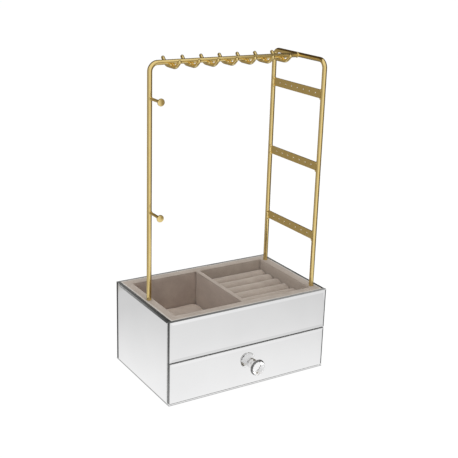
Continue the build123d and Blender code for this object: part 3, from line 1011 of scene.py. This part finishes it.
def bent_wire(name, foot, heading, radius, route, sides=24, tip=0.0):
    """A round wire from its foot along a route of straight runs and of bends about an axis."""
    bpy.ops.object.select_all(action="DESELECT")
    bpy.ops.mesh.primitive_circle_add(
        vertices=sides, radius=radius, location=foot, rotation=heading.to_track_quat("Z", "Y").to_euler()
    )
    wire = bpy.context.object
    wire.name = name
    bpy.ops.object.transform_apply(location=True, rotation=True, scale=True)
    bpy.ops.object.mode_set(mode="EDIT")
    bpy.ops.mesh.select_all(action="SELECT")
    place = foot.copy()
    heading = heading.normalized()
    for leg in route:
        if leg[0] == "run":
            bpy.ops.mesh.extrude_region_move(TRANSFORM_OT_translate={"value": heading * leg[1]})
            place += heading * leg[1]
        else:
            angle, size, axis = leg[1:]
            middle = place + axis.cross(heading) * size
            steps = max(4, round(math.degrees(angle) / 6))
            bpy.ops.mesh.spin(steps=steps, angle=-angle, center=middle, axis=axis)
            turn = Matrix.Rotation(angle, 3, axis)
            place = middle + turn @ (place - middle)
            heading = turn @ heading
    bpy.ops.mesh.select_all(action="SELECT")
    bpy.ops.mesh.remove_doubles(threshold=1e-6)
    bpy.ops.mesh.select_all(action="DESELECT")
    bpy.ops.mesh.select_non_manifold(extend=False)
    bpy.ops.mesh.edge_face_add()
    bpy.ops.mesh.select_all(action="SELECT")
    bpy.ops.mesh.normals_make_consistent(inside=False)
    bpy.ops.object.mode_set(mode="OBJECT")
    if tip:
        round_edges(wire, tip, 3, 60)
    smooth_below(50)
    wire.data.materials.append(gold)
    return wire


quarter = math.pi / 2
bar_height = post_high.z - rod_radius
post_foot = Vector((post_place.x, 0, post_low.z))
bar_end = ladder_low.x + bar_overlap
post_and_bar = bent_wire("post_and_bar", post_foot, up, rod_radius, [
    ("run", bar_height - bend_radius - post_low.z), ("bend", quarter, bend_radius, back),
    ("run", bar_end - post_foot.x - bend_radius),
])
put_in_place(post_and_bar, "case", "gold_metal", "main_rod")

leg_spacing = leg_places[1].y - leg_places[0].y
ladder_foot = Vector((leg_places[0].x, leg_places[0].y, ladder_low.z))
leg_run = bar_height - bend_radius - ladder_low.z
ladder = bent_wire("ladder_frame", ladder_foot, up, rod_radius, [
    ("run", leg_run), ("bend", quarter, bend_radius, left), ("run", leg_spacing - 2 * bend_radius),
    ("bend", quarter, bend_radius, left), ("run", leg_run),
])
put_in_place(ladder, "case", "gold_metal", "ladder_rod")


# Weld beads: small smooth lumps of metal, plated over, where strips, hooks, pegs and the bar
# are welded on. They fill the corners between the two pieces that they join.
bead_unevenness = 0.22
bead_grain = 420
bead_parts = []


def make_drop():
    """A round drop of unit size, to be copied for each weld."""
    bpy.ops.object.select_all(action="DESELECT")
    bpy.ops.mesh.primitive_uv_sphere_add(segments=20, ring_count=12, radius=1.0, location=(0, 0, 0))
    bpy.ops.object.shade_smooth()
    bpy.context.object.data.materials.append(gold)
    return bpy.context.object


drop = make_drop()


def weld_bead(place, size):
    """One bead, the drop flattened to its size, set at its place and made uneven."""
    bead = own_copy(drop, "bead", Vector())
    shift = Vector((len(bead_parts) + 1, 0, 0))
    for vertex in bead.data.vertices:
        out = vertex.co * Vector(size)
        vertex.co = Vector(place) + out * (1 + bead_unevenness * noise.noise(out * bead_grain + shift))
    bead_parts.append(bead)


# Earring strips: flat bars with seven punched holes, let in between the ladder's legs and
# welded at both ends. Their edges are rolled a little round.
hole_radius = 0.0012
hole_count = 7
hole_pitch = 0.0128
strip_edge = 0.0003
strip_bead = (0.0026, 0.0019, 0.0023)
bead_inset = 0.0005
bead_reach = 0.0007
bead_rear = 0.0006


def make_strip(low, high):
    """One strip, its holes punched and its edges rolled."""
    strip = add_block("punched_strip_upper", low, high)
    middle = (low + high) / 2
    punches = []
    for n in range(hole_count):
        place = middle + back * (n - (hole_count - 1) / 2) * hole_pitch
        punches.append(add_cylinder("punch", place, right, hole_radius, length=0.01, sides=20))
    cut_away(strip, join_pieces("punch", punches))
    round_edges(strip, strip_edge, 2, 50)
    smooth_below(40)
    for face in strip.data.polygons:
        if abs(face.normal.x) > 0.99:
            face.use_smooth = False
    strip.data.materials.append(gold)
    return strip


first_low, first_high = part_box("earring_strip_upper")
first_strip = make_strip(first_low, first_high)
for name in ("upper", "middle", "lower"):
    low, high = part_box(f"earring_strip_{name}")
    middle = (low + high) / 2
    strip = first_strip
    if name != "upper":
        strip = own_copy(first_strip, f"punched_strip_{name}", low - first_low)
    put_in_place(strip, "case", "gold_metal", f"earring_strip_{name}")
    for end, side in ((low.y, -1), (high.y, 1)):
        for height in (high.z - bead_inset, low.z + bead_inset):
            weld_bead((middle.x - bead_rear, end + side * bead_reach, height), strip_bead)


# Necklace hooks: seven short wires, each with a flat middle and two rising tips, so that a
# chain hangs before and behind the bar. Each is welded across the bar's underside.
hook_count = 7
hook_radius = 0.0022
flat_half = 0.012
hook_bend = 0.014
hook_tip = 0.0017
hook_bead = (0.0020, 0.0044, 0.0016)
bead_aside = 0.0018
bead_ahead = 0.001


def make_hook(low, high):
    """One hook: down a slope, along the flat and up again, with rounded tips."""
    hook_x = (low.x + high.x) / 2
    level = low.z + hook_radius
    end_lean = hook_radius * math.sqrt(0.5)
    reach = (high.y - low.y) / 2 - end_lean
    rise = high.z - level - end_lean
    angle = math.atan2(rise, reach - flat_half)
    slope = math.hypot(rise, reach - flat_half) - hook_bend * math.tan(angle / 2)
    down = Vector((0, math.cos(angle), -math.sin(angle)))
    start = Vector((hook_x, -reach, level + rise))
    return bent_wire("double_hook_1", start, down, hook_radius, [
        ("run", slope), ("bend", angle, hook_bend, right),
        ("run", 2 * (flat_half - hook_bend * math.tan(angle / 2))), ("bend", angle, hook_bend, right),
        ("run", slope),
    ], sides=20, tip=hook_tip)


first_low, first_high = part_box("necklace_hook_1")
hooks = [make_hook(first_low, first_high)]
for number in range(2, hook_count + 1):
    hook_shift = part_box(f"necklace_hook_{number}")[0] - first_low
    hooks.append(own_copy(hooks[0], f"double_hook_{number}", hook_shift))
for number, hook in enumerate(hooks, 1):
    low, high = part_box(f"necklace_hook_{number}")
    put_in_place(hook, "case", "gold_metal", f"necklace_hook_{number}")
    for side in (-1, 1):
        bead_x = (low.x + high.x) / 2 + side * bead_aside
        weld_bead((bead_x, -bead_ahead, low.z + 2 * hook_radius), hook_bead)


# Pegs: short wires with a flat head, welded to the post and pointing to the front, for
# bracelets and rings of chain.
head_edge = 0.0005
shaft_radius = 0.00175
peg_bead = (0.0024, 0.0010, 0.0024)
bar_bead = (0.0014, 0.0036, 0.0036)
bar_bead_reach = 0.0004
peg_low, peg_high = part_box("peg_upper")
head_radius = (peg_high.z - peg_low.z) / 2
peg_length = -peg_low.y
head_start = peg_length - 0.002
peg_foot = Vector((post_place.x, 0, (peg_low.z + peg_high.z) / 2))
upper_peg = turned_piece("headed_peg_upper", peg_foot, front, 32, [
    (0.001, shaft_radius), (head_start - 0.0004, shaft_radius), (head_start, shaft_radius + 0.0004),
    (head_start + 0.00005, head_radius - head_edge), (head_start + head_edge, head_radius),
    (peg_length - head_edge, head_radius), (peg_length - head_edge / 4, head_radius - head_edge / 3),
    (peg_length, head_radius - head_edge * 1.2),
])
smooth_below(40)
upper_peg.data.materials.append(gold)
peg_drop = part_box("peg_lower")[0] - peg_low
lower_peg = own_copy(upper_peg, "headed_peg_lower", peg_drop)
for peg, name, shift in ((upper_peg, "upper", Vector()), (lower_peg, "lower", peg_drop)):
    put_in_place(peg, "case", "gold_metal", f"peg_{name}")
    weld_bead(peg_foot + shift + front * rod_radius, peg_bead)

weld_bead((ladder_low.x - bar_bead_reach, 0, bar_height), bar_bead)
bpy.data.objects.remove(drop, do_unlink=True)
put_in_place(join_pieces("weld_beads", bead_parts), "case", "gold_metal")


# Setting: a plain white surface with soft light from above and from the front left. Metal
# and glass see a studio that is pale in front and overhead, and darker behind the object.
box_half_width = 0.115
box_half_depth = 0.074
floor_half = 9.0
ambient_strength = 0.55
dim_tint = (1.0, 0.89, 0.71)
pale_tint = (1.0, 0.985, 0.97)
studio_steps = [
    (-180, 0.12, dim_tint), (-158, 0.14, dim_tint), (-145, 0.34, dim_tint), (-90, 0.38, dim_tint),
    (-68, 0.54, pale_tint), (-28, 0.58, pale_tint), (-8, 0.88, pale_tint), (10, 1.02, pale_tint),
    (38, 1.00, pale_tint), (51, 0.80, pale_tint), (59, 0.42, dim_tint), (74, 0.34, dim_tint),
    (84, 0.18, dim_tint), (180, 0.12, dim_tint),
]


def make_studio_round():
    """What metal sees round about: pale to the front and right, dim left, dark behind."""
    group, start, end = new_group(
        "studio round", [("Direction", "NodeSocketVector", (0, 0, 0))], [("Color", "NodeSocketColor")]
    )
    sideways = (math.cos(camera_turn), -math.sin(camera_turn), 0)
    nearer = (-math.sin(camera_turn), -math.cos(camera_turn), 0)
    reaches = []
    for heading in (sideways, nearer):
        reach = group.nodes.new("ShaderNodeVectorMath")
        reach.operation = "DOT_PRODUCT"
        reach.inputs[1].default_value = heading
        group.links.new(start.outputs["Direction"], reach.inputs[0])
        reaches.append(reach.outputs["Value"])
    turn = spread(group, calculate(group, "ARCTAN2", *reaches), -math.pi, math.pi)
    stops = []
    for degrees, level, tint in studio_steps:
        stops.append(((degrees + 180) / 360, [level * part for part in tint]))
    group.links.new(color_ramp(group, turn, stops), end.inputs["Color"])
    return group


studio_round = make_studio_round()


def see_studio(tree, direction):
    """The studio's color in a direction."""
    around = add_effect(tree, studio_round, {})
    tree.links.new(direction, around.inputs["Direction"])
    return around.outputs["Color"]


def show_by_ray(tree, lit, reflected, seen):
    """One shader for soft light, one for reflections, one for the camera and through glass."""
    light = tree.nodes.new("ShaderNodeLightPath")
    clear = calculate(tree, "MAXIMUM", light.outputs["Is Camera Ray"], light.outputs["Is Transmission Ray"])
    unseen = mix_shaders(tree, light.outputs["Is Glossy Ray"], lit, reflected)
    return mix_shaders(tree, clear, unseen, seen)


def distance_from_box(tree, parts, stretch_x):
    """How far a point of the floor lies outside the box, counted longer or shorter sideways."""
    gaps = []
    for axis, half, stretch in (("X", box_half_width, stretch_x), ("Y", box_half_depth, 1.0)):
        size = calculate(tree, "ABSOLUTE", parts[axis])
        gaps.append(calculate(tree, "MULTIPLY_ADD", size, stretch, -half * stretch))
    return calculate(tree, "MAXIMUM", *gaps)


def grey_ramp(tree, value, stops):
    """Greys along a value from 0 to 1."""
    return color_ramp(tree, value, [(place, grey(level)) for place, level in stops])


def emit(tree, color):
    """A surface that shows a color as it is."""
    emission = tree.nodes.new("ShaderNodeEmission")
    tree.links.new(color, emission.inputs["Color"])
    return emission.outputs[0]


def make_floor():
    """White to the camera, with the object's shadow, a painted contact shadow round the box's foot and
    painted shade near the box, and painted shade for reflections.
    """
    material = bpy.data.materials.new("white surface")
    material.use_nodes = True
    tree = material.node_tree
    tree.nodes.clear()
    output = tree.nodes.new("ShaderNodeOutputMaterial")
    place = object_place(tree)
    split = tree.nodes.new("ShaderNodeSeparateXYZ")
    tree.links.new(place, split.inputs[0])
    parts = split.outputs

    matt, faint = [tree.nodes.new("ShaderNodeBsdfDiffuse") for _ in range(2)]
    matt.inputs["Color"].default_value = (0.9, 0.9, 0.9, 1)
    faint.inputs["Color"].default_value = (0.10, 0.10, 0.10, 1)

    # Painted shadow: a dark line just outside the box's foot, painted light on the floor seen in the gap
    # under the panels, and a white that dims a little nearer the box.
    edge = spread(tree, distance_from_box(tree, parts, 0.85), -0.002, 0.002)
    contact = grey_ramp(tree, edge,
                        [(0.0, 0.84), (0.27, 0.84), (0.32, 0.31), (0.57, 0.31), (0.61, 1.0), (1.0, 1.0)])
    distance = distance_from_box(tree, parts, 1.57)
    white_with_painted_shade = scale_color(tree, contact, spread(tree, distance, 0.0, 0.68, 0.935, 0.958))
    seen = tree.nodes.new("ShaderNodeAddShader")
    tree.links.new(faint.outputs[0], seen.inputs[0])
    tree.links.new(emit(tree, white_with_painted_shade), seen.inputs[1])

    # Painted reflection: what mirrors and metal see of the floor is a painted grey, changing with distance
    # from the box and darker to the rear and to the right, and far off the studio.
    near = grey_ramp(tree, spread(tree, distance, 0.0, 0.4),
                     [(0.0, 0.98), (0.35, 0.862), (0.62, 0.815), (0.69, 0.96), (1.0, 0.96)])
    to_rear = spread(tree, parts["Y"], 0.0, 0.22, 1.02, 0.82)
    to_right = spread(tree, parts["X"], 0.02, 0.3, 1.0, 0.87)
    inner = scale_color(tree, near, calculate(tree, "MULTIPLY", to_rear, to_right))
    far_off = spread(tree, distance, 0.36, 0.46)
    far_behind = spread(tree, parts["Y"], 0.28, 0.34)
    outer = calculate(tree, "MAXIMUM", far_off, far_behind)
    reflected = emit(tree, mix_colors(tree, outer, inner, see_studio(tree, place)))

    surface_shader = show_by_ray(tree, matt.outputs[0], reflected, seen.outputs[0])
    tree.links.new(surface_shader, output.inputs["Surface"])
    return material


bpy.ops.object.select_all(action="DESELECT")
bpy.ops.mesh.primitive_plane_add(size=2 * floor_half, location=(0, 0, 0))
surface = bpy.context.object
surface.name = "white_surface"
surface.data.materials.append(make_floor())


def make_surroundings():
    """White to the camera, a soft even light, and the studio for what metal and glass reflect."""
    world = bpy.data.worlds.new("studio")
    bpy.context.scene.world = world
    world.use_nodes = True
    tree = world.node_tree
    tree.nodes.clear()
    output = tree.nodes.new("ShaderNodeOutputWorld")
    direction = tree.nodes.new("ShaderNodeTexCoord").outputs["Generated"]
    split = tree.nodes.new("ShaderNodeSeparateXYZ")
    tree.links.new(direction, split.inputs[0])
    parts = split.outputs

    ambient, white, reflected = [tree.nodes.new("ShaderNodeBackground") for _ in range(3)]
    ambient.inputs["Color"].default_value = (1.0, 1.0, 1.0, 1)
    ambient.inputs["Strength"].default_value = ambient_strength
    white.inputs["Color"].default_value = (1.0, 1.0, 1.0, 1)

    behind = spread(tree, parts["Y"], 0.08, 0.30)
    to_right = spread(tree, parts["X"], 0.50, 0.57)
    bright_above = plain_color(tree, (0.94, 0.93, 0.92))
    dark_above = plain_color(tree, (0.07, 0.05, 0.025))
    overhead = mix_colors(tree, calculate(tree, "MAXIMUM", behind, to_right), bright_above, dark_above)
    lofty = spread(tree, parts["Z"], 0.22, 0.42)
    shade = mix_colors(tree, lofty, see_studio(tree, direction), overhead)
    tree.links.new(shade, reflected.inputs["Color"])

    background = show_by_ray(tree, ambient.outputs[0], reflected.outputs[0], white.outputs[0])
    tree.links.new(background, output.inputs["Surface"])


make_surroundings()


def soft_lamp(name, place, aim, size, power):
    """A square soft box that metal and glass do not show as a hard patch."""
    data = bpy.data.lights.new(name, "AREA")
    data.shape = "SQUARE"
    data.size = size
    data.energy = power
    lamp = bpy.data.objects.new(name, data)
    bpy.context.scene.collection.objects.link(lamp)
    lamp.location = place
    lamp.rotation_euler = (Vector(aim) - Vector(place)).to_track_quat("-Z", "Y").to_euler()
    lamp.visible_glossy = False


soft_lamp("overhead lamp", place=(-0.1, 0.0, 1.5), aim=(0, 0, 0.1), size=0.9, power=9.2)
soft_lamp("front lamp", place=(-1.1, -1.4, 1.0), aim=(0, 0, 0.15), size=0.9, power=6.5)

bpy.context.scene.view_settings.view_transform = "Standard"
